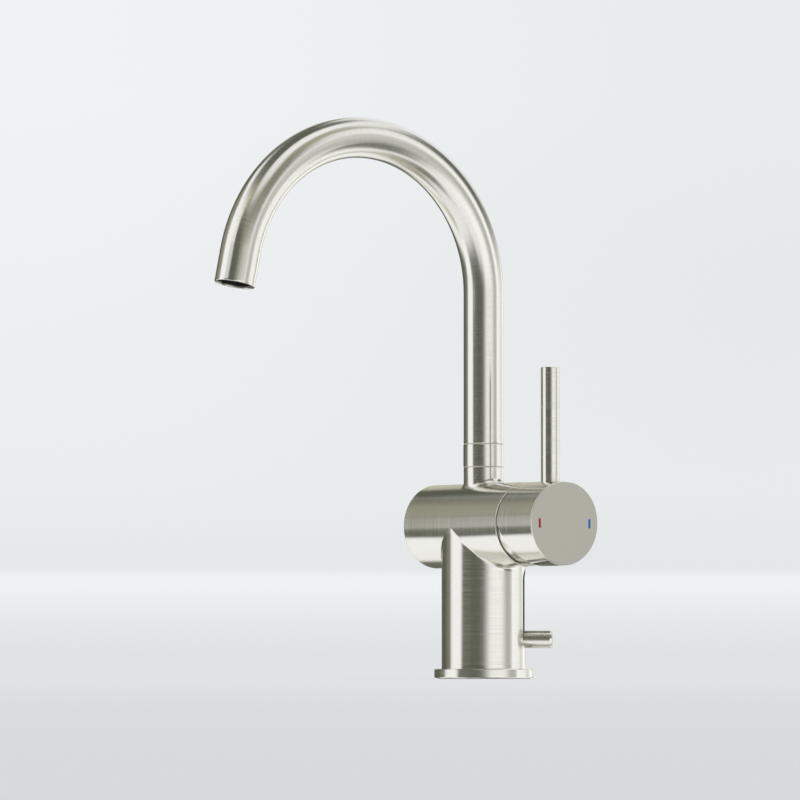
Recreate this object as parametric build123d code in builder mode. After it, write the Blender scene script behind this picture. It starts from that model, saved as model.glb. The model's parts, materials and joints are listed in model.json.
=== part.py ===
"""Single-lever basin mixer with a side handle, a swan-neck spout and a pull pin for the pop-up waste.

The frame: millimetres, +Z up, the origin in the middle of the foot on the basin.
+X runs along the barrel towards the handle, and the spout reaches out along -Y.
"""

from build123d import *
import math
import os

# Column and barrel
barrel_radius = 21.1
column_step = 0.05  # the column is this much slimmer than the barrel, so that their fillet runs out
shell_wall = 2.0
axis_height = 76.7
barrel_left = 39.4
barrel_right = 38.0
end_wall = 2.5
body_fillet = 2.2
rim_round = 0.5
running_fit = 0.05  # radial clearance between pieces that turn or slide in each other

# Foot
flange_overhang = 3.7
flange_top = 4.8
flange_lift = 0.3
flange_chamfer = 0.35
spigot_height = 4.2
spigot_wall = 2.05
gasket_land = 2.0
gasket_edge = 1.55
gasket_thickness = 1.6
port_block_rim = 6.0
port_block_lift = 0.8
foot_circle_inset = 6.5  # from the flange's opening in to the circle of the hose ports and the stud thread
port_radius = 4.5
port_depth = 9.0
stud_radius = 3.4
stud_depth = 12.0
port_spread = 110.0  # angle from the pull rod to each hose port

# Neck and swivel
spout_radius = 10.0
neck_height = 8.1
neck_fillet = 2.5
neck_wall = 2.1
collar_height = 11.2
collar_step = 0.15
collar_ledge = 0.5  # the collar's bore is this much tighter than the tube's
washer_thickness = 0.3
joint_round = 0.2  # rounding of the rims beside the two swivel joints
nipple_gap = 0.7
nipple_wall = 2.35
nipple_grip = 12.0
seal_depth = 1.15
seal_height = 1.8
seal_land = 0.7
stop_screw_radius = 1.5
stop_screw_drop = 2.1
stop_groove_depth = 0.8
spout_swing = 60.0

# Spout
tube_wall = 1.0
riser_length = 75.5
spout_bend = 75.0
bend_angle = 168.0
spout_end = 16.5
mouth_round = 0.3
aerator_inset = 0.9
aerator_length = 9.0
aerator_wall = 1.3
insert_inset = 1.4
outer_ribs = 12
inner_ribs = 6
rib_width = 0.7
rib_depth = 5.0
rib_ring_radius = 4.2
screen_thickness = 0.8
screen_hole = 0.7
screen_pitch = 2.2
aerator_gasket_height = 2.0

# Waterways
inlet_tube_radius = 4.0
inlet_tube_wall = 1.0
inlet_tube_drop = 4.7  # from the barrel's axis down to the tubes' upper ends
socket_depth = 4.0
inlet_channel = 2.4
inlet_offset_y = 6.5
inlet_offset_z = 5.0
outlet_channel = 3.2
outlet_offset_z = -4.8
riser_channel = 3.3
sleeve_lift = 11.3  # from the barrel's axis up to the sleeve's lower end
sleeve_wall = 1.2
sleeve_overlap = 7.0
seal_section = 1.2
block_clearance = 0.1
block_land = 0.66  # wall between the cold tube's seal and the block's face

# Cartridge
port_gap = 0.3
base_thickness = 3.0
fixed_disc_thickness = 3.5
moving_disc_thickness = 3.5
moving_disc_gap = 0.88
disc_pocket_depth = 2.2
disc_land = 0.5
pocket_reach = 2.5
disc_clearance = 0.2
carrier_thickness = 4.5
carrier_flat_depth = 3.0
housing_gap = 1.7
housing_wall = 1.9
housing_front = 3.0
rotor_shoulder = 3.45
rotor_gap = 0.3
rotor_float = 0.1
rotor_inset = 0.8
finger_clearance = 0.1
nut_length = 5.0
nut_clearance = 0.9
dome_length = 5.5
dome_clearance = 0.4  # between the nut's dome and the cap as it tilts
dome_boss_gap = 2.0
nut_notches = 4
nut_notch_width = 3.0
nut_notch_depth = 2.0
locating_pin_radius = 1.25
locating_pin_inset = 5.4
locating_pin_drop = 3.5
locating_pin_length = 2.5

# Lever
pivot_inset = 5.5  # from the barrel's right end in to the pivot pin
pivot_pin_radius = 2.0
pivot_pin_inset = 1.05
tilt_range = 25.0
stem_width = 8.0
stem_back = 5.0
stem_neck = 1.5
stem_face_gap = 1.8
stem_fit = 0.1
stem_slot_height = 16.4
ball_radius = 2.4
ball_seat = 2.6
ball_clearance = 0.1
cap_gap = 0.8
cap_step = 0.2  # the cap is this much slimmer than the barrel
cap_length = 28.0
cap_wall = 1.2
cap_face = 3.0
cap_cut_angle = 27.4
cap_cut_lead = 1.0
boss_radius = 9.0
boss_length = 18.8
rod_radius = 5.0
rod_from_face = 11.1
rod_above_cap = 56.6
rod_seat_depth = 0.5
rod_tail_radius = 2.9
rod_tail_length = 3.8
rod_chamfer = 0.4
lever_screw_radius = 2.5
socket_share = 0.5  # a grub screw's hexagon socket, as a share of its radius and of its length
mark_width = 1.3
mark_height = 4.6
mark_depth = 0.5
mark_inset = 5.5

# Pull pin
pull_angle = 49.0
pin_radius = 4.4
pin_height = 19.7
pin_overhang = 13.45
pin_end_length = 1.0
pin_end_drop = 0.3
pin_tail_radius = 2.5
slot_side_gap = 1.7
slot_end_gap = 0.1
slot_top_gap = 0.4  # from the slot's top up to the level of the barrel's underside
pull_rod_inset = 7.55  # from the column's bore in to the rod's axis
pull_rod_radius = 2.5
pull_rod_bottom = 1.0
link_thread_radius = 1.65
link_thread_depth = 8.0
slide_width = 11.0
slide_depth = 8.6
slide_height = 8.0
slide_clearance = 0.15
liner_wall = 1.5
liner_gap = 1.1
bush_wall = 2.0

# Worked out from the values above: column, foot and neck
column_radius = barrel_radius - column_step
column_bore = column_radius - shell_wall
shell_bore = barrel_radius - shell_wall
flange_radius = column_radius + flange_overhang
flange_opening = column_bore - spigot_wall
foot_circle = flange_opening - foot_circle_inset
gasket_inner = flange_opening + gasket_land
gasket_outer = flange_radius - gasket_edge
spigot_top = flange_top + spigot_height
port_block_top = spigot_top + port_block_rim
neck_top = axis_height + barrel_radius + neck_height
neck_bore = spout_radius - neck_wall
collar_bottom = neck_top + washer_thickness
collar_top = collar_bottom + collar_height
tube_bottom = collar_top + washer_thickness
tube_bore = spout_radius - tube_wall
nipple_radius = neck_bore - running_fit
nipple_bottom = axis_height + shell_bore + nipple_gap
nipple_bore = nipple_radius - nipple_wall
groove_floor = nipple_radius - stop_groove_depth
riser_top = tube_bottom + riser_length
aerator_radius = tube_bore - running_fit
insert_radius = aerator_radius - aerator_wall - running_fit

# Inlet tubes
inlet_tube_bore = inlet_tube_radius - inlet_tube_wall
inlet_tube_socket = inlet_tube_radius + running_fit
inlet_tube_bottom = port_block_top - socket_depth
inlet_tube_top = axis_height - inlet_tube_drop
cold_tube_x = foot_circle * math.cos(math.radians(port_spread - pull_angle))

# Along the barrel's axis: waterway block, cartridge and lever
block_right = cold_tube_x + inlet_tube_socket + seal_section + block_land
base_start = block_right + port_gap
fixed_start = base_start + base_thickness
moving_start = fixed_start + fixed_disc_thickness
carrier_start = moving_start + moving_disc_thickness
rotor_start = carrier_start + carrier_thickness + rotor_gap
rotor_front = barrel_right - rotor_inset
housing_end = barrel_right - nut_length
housing_lip = housing_end - housing_front
ball_centre = carrier_start + ball_seat
lever_pivot = barrel_right - pivot_inset
stem_start = lever_pivot - stem_back
cap_radius = barrel_radius - cap_step
cap_start = barrel_right + cap_gap
cap_end = cap_start + cap_length
stem_end = cap_end - cap_face - stem_face_gap
boss_start = cap_end - cap_face - boss_length
dome_end = barrel_right + dome_length
rod_x = cap_end - rod_from_face
rod_top = axis_height + cap_radius + rod_above_cap

# Round the barrel's axis
housing_outer = shell_bore - housing_gap
housing_bore = housing_outer - housing_wall
rotor_bearing = housing_bore - rotor_shoulder
housing_opening = rotor_bearing + running_fit
disc_radius = housing_bore - disc_clearance
nut_opening = housing_opening + nut_clearance
disc_travel = (lever_pivot - ball_centre) * math.sin(math.radians(tilt_range))
disc_rest = -disc_travel / 2  # the moving disc's middle against the barrel's axis, with the lever closed
moving_disc_radius = disc_radius - disc_travel / 2 - moving_disc_gap
carrier_flat = moving_disc_radius - carrier_flat_depth
locating_pin_spread = housing_outer - locating_pin_inset
mark_spread = cap_radius - mark_inset
cap_bore = cap_radius - cap_wall
dome_radius = math.hypot(cap_start - lever_pivot, cap_bore) - dome_clearance
dome_end_radius = math.sqrt(dome_radius**2 - (dome_end - lever_pivot) ** 2)
boss_corner = math.hypot(boss_start - lever_pivot, boss_radius)
boss_corner_angle = math.atan2(boss_radius, boss_start - lever_pivot) + math.radians(tilt_range)
dome_bore = boss_corner * math.sin(boss_corner_angle) + dome_boss_gap  # clears the boss at full tilt

# Pull pin and its slot
slot_half_width = pin_radius + slot_side_gap
slot_bottom = pin_height - pin_radius - slot_end_gap
slot_top = axis_height - barrel_radius - slot_top_gap
bush_radius = pull_rod_radius + bush_wall
pull_rod_distance = column_bore - pull_rod_inset
pin_reach = column_radius + pin_overhang

ground = Plane.XY
barrel_plane = Plane(origin=(0, 0, axis_height), x_dir=(0, 1, 0), z_dir=(1, 0, 0))
pull_way = Vector(1, 0, 0).rotate(Axis.Z, pull_angle)
pull_plane = Plane(origin=(0, 0, 0), x_dir=(0, 0, 1), z_dir=tuple(pull_way))
mouth_way = Vector(0, -math.sin(math.radians(bend_angle)), math.cos(math.radians(bend_angle)))
bend_stop = Vector(
    0,
    -spout_bend * (1 - math.cos(math.radians(bend_angle))),
    riser_top + spout_bend * math.sin(math.radians(bend_angle)),
)
mouth = bend_stop + mouth_way * spout_end
mouth_plane = Plane(origin=tuple(mouth), x_dir=(1, 0, 0), z_dir=tuple(mouth_way))


def foot_spot(radius, angle):
    """A place in the foot, as x and y, at an angle from the pull rod."""
    place = Vector(radius, 0, 0).rotate(Axis.Z, pull_angle + angle)
    return (place.X, place.Y)


inlet_tubes = {"hot": foot_spot(foot_circle, port_spread), "cold": foot_spot(foot_circle, -port_spread)}
stud_spot = foot_spot(foot_circle, 180)
pull_rod_spot = foot_spot(pull_rod_distance, 0)
inlet_ports = {"hot": (inlet_offset_y, inlet_offset_z), "cold": (-inlet_offset_y, inlet_offset_z)}
outlet_port = (0, outlet_offset_z)
ports = [(spot, inlet_channel) for spot in inlet_ports.values()] + [(outlet_port, outlet_channel)]
locating_spots = [(side * locating_pin_spread, -locating_pin_drop) for side in (1, -1)]

os.makedirs("parts", exist_ok=True)


def keep(piece, label):
    """Labels a finished piece and writes it as its own node."""
    piece.part.label = label
    export_step(piece.part, f"parts/{label}.step")


def ring(plane, start, length, outer, inner=0.0, spot=(0, 0), mode=Mode.ADD):
    """Adds a round bar or ring along a plane's normal to the part being built."""
    with BuildSketch(plane.offset(start)) as profile:
        with Locations(spot):
            Circle(outer)
            if inner:
                Circle(inner, mode=Mode.SUBTRACT)
    extrude(profile.sketch, amount=length, mode=mode)


def bore(plane, start, length, radius, spot=(0, 0), inner=0.0):
    """Cuts a round hole or groove along a plane's normal from the part being built."""
    ring(plane, start, length, radius, inner, spot, mode=Mode.SUBTRACT)


def grub_screw(plane, start, length, radius, spot):
    """Adds a headless screw with a hexagon socket in its lower end to the part being built."""
    ring(plane, start, length, radius, spot=spot)
    with BuildSketch(plane.offset(start)) as socket:
        with Locations(spot):
            RegularPolygon(socket_share * radius, 6)
    extrude(socket.sketch, amount=socket_share * length, mode=Mode.SUBTRACT)


def seams(part, low, high):
    """The curved edges where the column or the neck meets the barrel, between two heights."""
    curved = part.edges().filter_by(lambda edge: edge.geom_type not in (GeomType.LINE, GeomType.CIRCLE))
    return curved.filter_by(lambda edge: low < edge.center().Z < high)


# Body shell: column, barrel and neck in one casting, hollow inside
stop_screw_spot = (0, neck_top - stop_screw_drop)
with BuildPart() as body_shell:
    ring(ground, flange_top, axis_height - flange_top, column_radius)
    ring(barrel_plane, -barrel_left, barrel_left + barrel_right, barrel_radius)
    ring(ground, axis_height, neck_top - axis_height, spout_radius)
    fillet(seams(body_shell, axis_height, neck_top), neck_fillet)
    fillet(seams(body_shell, flange_top, axis_height), body_fillet)
    barrel_ends = body_shell.faces().filter_by(Axis.X).sort_by(Axis.X)
    fillet(barrel_ends[0].edges() + barrel_ends[-1].edges(), rim_round)
    fillet(body_shell.faces().sort_by(Axis.Z)[-1].edges(), joint_round)
    bore(ground, flange_top, axis_height - flange_top, column_bore)
    bore(barrel_plane, end_wall - barrel_left, barrel_left + barrel_right - end_wall, shell_bore)
    bore(ground, axis_height, neck_top - axis_height, neck_bore)
    with BuildSketch(pull_plane.offset(column_bore / 2)):
        with Locations(((slot_bottom + slot_top) / 2, 0)):
            SlotOverall(slot_top - slot_bottom, 2 * slot_half_width)
    extrude(amount=column_radius, mode=Mode.SUBTRACT)
    stop_screw_hole = stop_screw_radius + running_fit
    bore(Plane.XZ, -spout_radius, spout_radius - groove_floor, stop_screw_hole, stop_screw_spot)
keep(body_shell, "body_shell")

# Foot: flange with its spigot, gasket and port block
with BuildPart() as base_flange:
    ring(ground, flange_lift, flange_top - flange_lift, flange_radius, flange_opening)
    flange_rims = base_flange.edges().filter_by(GeomType.CIRCLE).sort_by(SortBy.RADIUS)[-2:]
    chamfer(flange_rims, flange_chamfer)
    ring(ground, flange_top, spigot_height, column_bore, flange_opening)
    bore(ground, flange_lift, gasket_thickness - flange_lift, gasket_outer, inner=gasket_inner)
keep(base_flange, "base_flange")

with BuildPart() as base_gasket:
    ring(ground, 0, gasket_thickness, gasket_outer, gasket_inner)
keep(base_gasket, "base_gasket")

with BuildPart() as port_block:
    ring(ground, port_block_lift, spigot_top - port_block_lift, flange_opening - running_fit)
    ring(ground, spigot_top, port_block_rim, column_bore - running_fit)
    for spot in inlet_tubes.values():
        bore(ground, port_block_lift, port_depth, port_radius, spot)
        bore(ground, port_block_lift, port_block_top, inlet_tube_bore, spot)
        bore(ground, port_block_top - socket_depth, socket_depth, inlet_tube_socket, spot)
    bore(ground, port_block_lift, stud_depth, stud_radius, stud_spot)
    bore(ground, port_block_lift, port_block_top, bush_radius, pull_rod_spot)
keep(port_block, "port_block")

# Inlet tubes from the port block up into the waterway block, each with a seal near both ends
tube_seal_bottoms = (port_block_top, inlet_tube_top - socket_depth)
for name, spot in inlet_tubes.items():
    with BuildPart() as inlet_tube:
        tube_length = inlet_tube_top - inlet_tube_bottom
        ring(ground, inlet_tube_bottom, tube_length, inlet_tube_radius, inlet_tube_bore, spot)
    keep(inlet_tube, f"inlet_tube_{name}")

with BuildPart() as tube_seals:
    for spot in inlet_tubes.values():
        for seal_bottom in tube_seal_bottoms:
            ring(ground, seal_bottom, seal_section, inlet_tube_socket + seal_section, inlet_tube_socket, spot)
keep(tube_seals, "tube_seals")

# Waterway block: fills the barrel's left half and leads the water to and from the cartridge
waterway_radius = shell_bore - block_clearance
sleeve_radius = nipple_bore - 2 * running_fit
sleeve_bore = sleeve_radius - sleeve_wall
sleeve_bottom = axis_height + sleeve_lift
sleeve_top = nipple_bottom + sleeve_overlap
sleeve_seal_bottom = sleeve_bottom + seal_section
with BuildPart() as waterway_block:
    ring(barrel_plane, end_wall - barrel_left, block_right + barrel_left - end_wall, waterway_radius)
    for name, spot in inlet_tubes.items():
        bore(ground, axis_height - shell_bore, shell_bore - inlet_tube_drop, inlet_tube_socket, spot)
        bore(ground, inlet_tube_top, inlet_tube_drop + inlet_offset_z, inlet_tube_bore, spot)
        bore(ground, tube_seal_bottoms[1], seal_section, inlet_tube_socket + seal_section, spot)
        bore(barrel_plane, spot[0], block_right - spot[0], inlet_channel, inlet_ports[name])
    bore(barrel_plane, 0, block_right, outlet_channel, outlet_port)
    bore(ground, axis_height + outlet_offset_z, shell_bore - outlet_offset_z, riser_channel)
    bore(ground, sleeve_bottom, shell_bore, sleeve_radius + running_fit)
    bore(ground, sleeve_seal_bottom, seal_section, sleeve_radius + running_fit + seal_section)
    for spot in locating_spots:
        pin_hole = locating_pin_radius + running_fit
        bore(barrel_plane, block_right - locating_pin_length, locating_pin_length, pin_hole, spot)
keep(waterway_block, "waterway_block")

with BuildPart() as outlet_sleeve:
    ring(ground, sleeve_bottom, sleeve_top - sleeve_bottom, sleeve_radius, sleeve_bore)
keep(outlet_sleeve, "outlet_sleeve")

with BuildPart() as sleeve_seal:
    sleeve_seal_inner = sleeve_radius + running_fit
    ring(ground, sleeve_seal_bottom, seal_section, sleeve_seal_inner + seal_section, sleeve_seal_inner)
keep(sleeve_seal, "sleeve_seal")

# Cartridge: base with its locating pins, port seals, housing and discs
with BuildPart() as cartridge_base:
    ring(barrel_plane, base_start, base_thickness, housing_outer)
    for spot, channel in ports:
        bore(barrel_plane, base_start, base_thickness, channel, spot)
        bore(barrel_plane, base_start, seal_section - port_gap, channel + seal_section, spot)
    for spot in locating_spots:
        pin_start = block_right - locating_pin_length
        ring(barrel_plane, pin_start, locating_pin_length + port_gap, locating_pin_radius, spot=spot)
keep(cartridge_base, "cartridge_base")

with BuildPart() as port_seals:
    for spot, channel in ports:
        ring(barrel_plane, block_right, seal_section, channel + seal_section, channel, spot)
keep(port_seals, "port_seals")

with BuildPart() as fixed_disc:
    ring(barrel_plane, fixed_start, fixed_disc_thickness, disc_radius)
    for spot, channel in ports:
        bore(barrel_plane, fixed_start, fixed_disc_thickness, channel, spot)
keep(fixed_disc, "fixed_disc")

with BuildPart() as cartridge_housing:
    ring(barrel_plane, fixed_start, housing_end - fixed_start, housing_outer, housing_bore)
    ring(barrel_plane, housing_lip, housing_front, shell_bore - running_fit, housing_opening)
keep(cartridge_housing, "cartridge_housing")

# Retaining nut: its dome is round about the lever's pivot, so that the tilting cap slides past it
with BuildPart() as retaining_nut:
    ring(barrel_plane, housing_end, nut_length, shell_bore - running_fit, nut_opening)
    ring(barrel_plane, barrel_right, dome_length, dome_radius, dome_bore)
    with Locations(barrel_plane.offset(lever_pivot)):
        Sphere(dome_radius, mode=Mode.INTERSECT)
    with BuildSketch(barrel_plane.offset(dome_end)):
        with PolarLocations((dome_bore + dome_end_radius) / 2, nut_notches):
            Rectangle(2 * (dome_end_radius - dome_bore), nut_notch_width)
    extrude(amount=-nut_notch_depth, mode=Mode.SUBTRACT)
keep(retaining_nut, "retaining_nut")

# The moving disc's pocket joins the outlet to both inlets once the disc has slid up
pocket_top = inlet_offset_z - inlet_channel - disc_land
pocket_step = outlet_offset_z + outlet_channel
pocket_bottom = outlet_offset_z - outlet_channel - pocket_reach
with BuildPart() as moving_disc:
    ring(barrel_plane, moving_start, moving_disc_thickness, moving_disc_radius, spot=(0, disc_rest))
    with BuildSketch(barrel_plane.offset(moving_start)):
        with Locations((0, (pocket_top + pocket_step) / 2)):
            Rectangle(2 * inlet_offset_y, pocket_top - pocket_step)
        with Locations((0, (pocket_step + pocket_bottom) / 2)):
            Rectangle(2 * outlet_channel, pocket_step - pocket_bottom)
    extrude(amount=disc_pocket_depth, mode=Mode.SUBTRACT)
keep(moving_disc, "moving_disc")

with BuildPart() as disc_carrier:
    with BuildSketch(barrel_plane.offset(carrier_start)):
        with Locations((0, disc_rest)):
            Circle(moving_disc_radius)
            Rectangle(2 * carrier_flat, 2 * moving_disc_radius, mode=Mode.INTERSECT)
        Circle(ball_radius + ball_clearance, mode=Mode.SUBTRACT)
    extrude(amount=carrier_thickness)
keep(disc_carrier, "disc_carrier")

# Rotor: turns in the housing, holds the pivot pin, and drives the carrier with two fingers
with BuildPart() as rotor:
    ring(barrel_plane, rotor_start, housing_lip - rotor_float - rotor_start, disc_radius)
    ring(barrel_plane, rotor_start, rotor_front - rotor_start, rotor_bearing)
    finger_length = carrier_thickness + rotor_gap - rotor_float
    with BuildSketch(barrel_plane.offset(rotor_start - finger_length)):
        Circle(disc_radius)
        Rectangle(2 * disc_radius, stem_slot_height, mode=Mode.INTERSECT)
        Rectangle(2 * (carrier_flat + finger_clearance), stem_slot_height, mode=Mode.SUBTRACT)
    extrude(amount=finger_length)
    with BuildSketch(barrel_plane.offset(rotor_start)):
        Rectangle(stem_width + 2 * stem_fit, stem_slot_height)
    extrude(amount=rotor_front - rotor_start, mode=Mode.SUBTRACT)
    bore(Plane.XZ, -disc_radius, 2 * disc_radius, pivot_pin_radius, (lever_pivot, axis_height))
keep(rotor, "rotor")

with BuildPart() as pivot_pin:
    pivot_reach = rotor_bearing - pivot_pin_inset
    ring(Plane.XZ, -pivot_reach, 2 * pivot_reach, pivot_pin_radius, spot=(lever_pivot, axis_height))
keep(pivot_pin, "pivot_pin")

# Lever stem: square bar through the rotor, with a ball end in the disc carrier
with BuildPart() as lever_stem:
    with BuildSketch(barrel_plane.offset(stem_start)):
        Rectangle(stem_width, stem_width)
    extrude(amount=stem_end - stem_start)
    ring(barrel_plane, ball_centre, stem_start - ball_centre, stem_neck)
    with Locations((ball_centre, 0, axis_height)):
        Sphere(ball_radius)
    bore(Plane.XZ, -stem_width, 2 * stem_width, pivot_pin_radius + running_fit, (lever_pivot, axis_height))
keep(lever_stem, "lever_stem")

# Lever cap: thin round cap with a boss inside, cut away below at the back for the tilt
rod_seat = axis_height + boss_radius - rod_seat_depth
cut_drop = 2 * cap_radius
cut_run = cut_drop * math.tan(math.radians(cap_cut_angle))
with BuildPart() as lever_cap:
    ring(barrel_plane, cap_start, cap_length, cap_radius)
    fillet(lever_cap.faces().sort_by(Axis.X)[-1].edges(), rim_round)
    bore(barrel_plane, cap_start, cap_length - cap_face, cap_bore)
    ring(barrel_plane, boss_start, boss_length, boss_radius)
    with BuildSketch(Plane.XZ.offset(-cap_radius)):
        with BuildLine():
            Polyline(
                (cap_start - cap_cut_lead, axis_height),
                (cap_start, axis_height),
                (cap_start + cut_run, axis_height - cut_drop),
                (cap_start - cap_cut_lead, axis_height - cut_drop),
                close=True,
            )
        make_face()
    extrude(amount=2 * cap_radius, mode=Mode.SUBTRACT)
    with BuildSketch(barrel_plane.offset(boss_start)):
        Rectangle(stem_width + stem_fit, stem_width + stem_fit)
    extrude(amount=stem_end + stem_fit - boss_start, mode=Mode.SUBTRACT)
    bore(ground, rod_seat, cap_radius, rod_radius + running_fit / 2, (rod_x, 0))
    bore(ground, axis_height, boss_radius, rod_tail_radius + running_fit, (rod_x, 0))
    bore(ground, axis_height - cap_radius, cap_radius, lever_screw_radius + running_fit, (rod_x, 0))
    with BuildSketch(barrel_plane.offset(cap_end - mark_depth)):
        with Locations((mark_spread, 0), (-mark_spread, 0)):
            Rectangle(mark_width, mark_height)
    extrude(amount=mark_depth, mode=Mode.SUBTRACT)
keep(lever_cap, "lever_cap")

with BuildPart() as lever_rod:
    ring(ground, rod_seat, rod_top - rod_seat, rod_radius, spot=(rod_x, 0))
    chamfer(lever_rod.faces().sort_by(Axis.Z)[-1].edges(), rod_chamfer)
    ring(ground, rod_seat - rod_tail_length, rod_tail_length, rod_tail_radius, spot=(rod_x, 0))
keep(lever_rod, "lever_rod")

with BuildPart() as lever_screw:
    screw_length = boss_radius - stem_width / 2 - running_fit
    grub_screw(ground, axis_height - boss_radius, screw_length, lever_screw_radius, (rod_x, 0))
keep(lever_screw, "lever_screw")

for name, side in (("red", -1), ("blue", 1)):
    with BuildPart() as mark:
        with BuildSketch(barrel_plane.offset(cap_end - mark_depth)):
            with Locations((side * mark_spread, 0)):
                Rectangle(mark_width, mark_height)
        extrude(amount=mark_depth)
    keep(mark, f"{name}_mark")

# Swivel: nipple in the neck with two seals and a groove for the stop screw
nipple_seal_bottoms = [nipple_bottom + seal_land + i * (seal_height + seal_land) for i in (0, 1)]
seal_core = nipple_radius - seal_depth
groove_height = 2 * stop_screw_hole
collar_bore = tube_bore - collar_ledge
screw_half_angle = math.degrees(math.asin(stop_screw_hole / groove_floor))
groove_sweep = 2 * (spout_swing + screw_half_angle)
groove_way = Vector(0, 1, 0).rotate(Axis.Z, -groove_sweep / 2)
groove_plane = Plane(
    origin=(0, 0, neck_top - stop_screw_drop),
    x_dir=tuple(groove_way),
    z_dir=tuple(groove_way.cross(Vector(0, 0, 1))),
)
with BuildPart() as spout_nipple:
    ring(ground, nipple_bottom, collar_bottom - nipple_bottom, nipple_radius)
    ring(ground, collar_bottom, tube_bottom - collar_bottom, collar_bore - running_fit)
    ring(ground, tube_bottom, nipple_grip, tube_bore - running_fit)
    bore(ground, nipple_bottom, tube_bottom + nipple_grip - nipple_bottom, nipple_bore)
    for seal_bottom in nipple_seal_bottoms:
        bore(ground, seal_bottom, seal_height, spout_radius, inner=seal_core)
    with BuildSketch(groove_plane):
        with Locations((spout_radius, 0)):
            Rectangle(2 * (spout_radius - groove_floor), groove_height)
    revolve(axis=Axis.Z, revolution_arc=groove_sweep, mode=Mode.SUBTRACT)
keep(spout_nipple, "spout_nipple")

with BuildPart() as nipple_seals:
    for seal_bottom in nipple_seal_bottoms:
        ring(ground, seal_bottom, seal_height, nipple_radius, seal_core)
keep(nipple_seals, "nipple_seals")

with BuildPart() as stop_screw:
    grub_screw(
        Plane.XZ, -spout_radius, spout_radius - groove_floor - running_fit, stop_screw_radius, stop_screw_spot
    )
keep(stop_screw, "stop_screw")

# Swivel collar between two slide washers, which show as fine pale joints
with BuildPart() as swivel_collar:
    ring(ground, collar_bottom, collar_height, spout_radius + collar_step, collar_bore)
    collar_rims = swivel_collar.edges().filter_by(GeomType.CIRCLE).sort_by(SortBy.RADIUS)[-2:]
    fillet(collar_rims, joint_round)
keep(swivel_collar, "swivel_collar")

for name, washer_bottom, washer_inner in (
    ("lower", neck_top, neck_bore),
    ("upper", collar_top, collar_bore),
):
    with BuildPart() as slide_washer:
        ring(ground, washer_bottom, washer_thickness, spout_radius - joint_round, washer_inner)
    keep(slide_washer, f"{name}_washer")

# Spout tube: straight riser, round arc, short straight end
with BuildPart() as spout_tube:
    with BuildLine(Plane.YZ):
        Line((0, tube_bottom), (0, riser_top))
        bend = CenterArc((-spout_bend, riser_top), spout_bend, 0, bend_angle)
        Line(bend @ 1, (mouth.Y, mouth.Z))
    with BuildSketch(ground.offset(tube_bottom)):
        Circle(spout_radius)
        Circle(tube_bore, mode=Mode.SUBTRACT)
    sweep()
    mouth_rims = spout_tube.edges().filter_by(GeomType.CIRCLE).sort_by_distance(mouth)[:2]
    fillet(mouth_rims, mouth_round)
    foot_rims = spout_tube.faces().sort_by(Axis.Z)[0].edges()
    fillet(foot_rims.sort_by(SortBy.RADIUS)[-1], joint_round)
keep(spout_tube, "spout_tube")

# Aerator: threaded ring, ribbed insert, screen and gasket, all inside the mouth
aerator_top = -aerator_inset - aerator_length
insert_start = -aerator_inset - insert_inset - rib_depth
rib_room = insert_radius - rib_ring_radius
with BuildPart() as aerator_ring:
    ring(mouth_plane, aerator_top, aerator_length, aerator_radius, aerator_radius - aerator_wall)
keep(aerator_ring, "aerator_ring")

with BuildPart() as aerator_insert:
    ring(mouth_plane, insert_start, rib_depth, insert_radius, insert_radius - rib_width)
    ring(mouth_plane, insert_start, rib_depth, rib_ring_radius, rib_ring_radius - rib_width)
    with BuildSketch(mouth_plane.offset(insert_start)):
        with PolarLocations(rib_ring_radius + (rib_room - rib_width) / 2, outer_ribs):
            Rectangle(rib_room, rib_width)
        with PolarLocations(rib_ring_radius / 2, inner_ribs):
            Rectangle(rib_ring_radius, rib_width)
    extrude(amount=rib_depth)
keep(aerator_insert, "aerator_insert")

screen_start = insert_start - screen_thickness
screen_row = 2 * int(insert_radius / screen_pitch) + 1
screen_reach = insert_radius - screen_pitch / 2
with BuildPart() as aerator_screen:
    with BuildSketch(mouth_plane.offset(screen_start)):
        Circle(insert_radius)
        with GridLocations(screen_pitch, screen_pitch, screen_row, screen_row) as grid:
            hole_spots = [spot for spot in grid.local_locations if spot.position.length < screen_reach]
        with Locations(hole_spots):
            Circle(screen_hole, mode=Mode.SUBTRACT)
    extrude(amount=screen_thickness)
keep(aerator_screen, "aerator_screen")

with BuildPart() as aerator_gasket:
    gasket_start = aerator_top - aerator_gasket_height
    ring(mouth_plane, gasket_start, aerator_gasket_height, aerator_radius, insert_radius - aerator_wall)
keep(aerator_gasket, "aerator_gasket")

# Pull pin, with a slightly conical end and a tail in the slide block
block_face = pull_rod_distance + slide_depth / 2
pin_tail = slide_depth / 2 - pull_rod_radius - running_fit
with BuildPart() as pull_pin:
    ring(pull_plane, block_face, pin_reach - block_face, pin_radius, spot=(pin_height, 0))
    pin_end = pull_pin.faces().sort_by(Axis(origin=(0, 0, 0), direction=tuple(pull_way)))[-1]
    chamfer(pin_end.edges(), pin_end_drop, pin_end_length, reference=pin_end)
    ring(pull_plane, block_face - pin_tail, pin_tail, pin_tail_radius, spot=(pin_height, 0))
keep(pull_pin, "pull_pin")

# Slide block and pull rod, the liner that guides the block behind the slot, and the bush in the foot
slide_bottom = pin_height - slide_height / 2
block_plane = Plane(origin=(0, 0, 0), x_dir=tuple(pull_way), z_dir=(0, 0, 1))
with BuildPart() as slide_block:
    with BuildSketch(block_plane.offset(slide_bottom)):
        with Locations((pull_rod_distance, 0)):
            Rectangle(slide_depth, slide_width)
            Circle(pull_rod_radius + running_fit / 2, mode=Mode.SUBTRACT)
    extrude(amount=slide_height)
    bore(pull_plane, block_face - pin_tail, pin_tail, pin_tail_radius + running_fit / 2, (pin_height, 0))
keep(slide_block, "slide_block")

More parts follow.
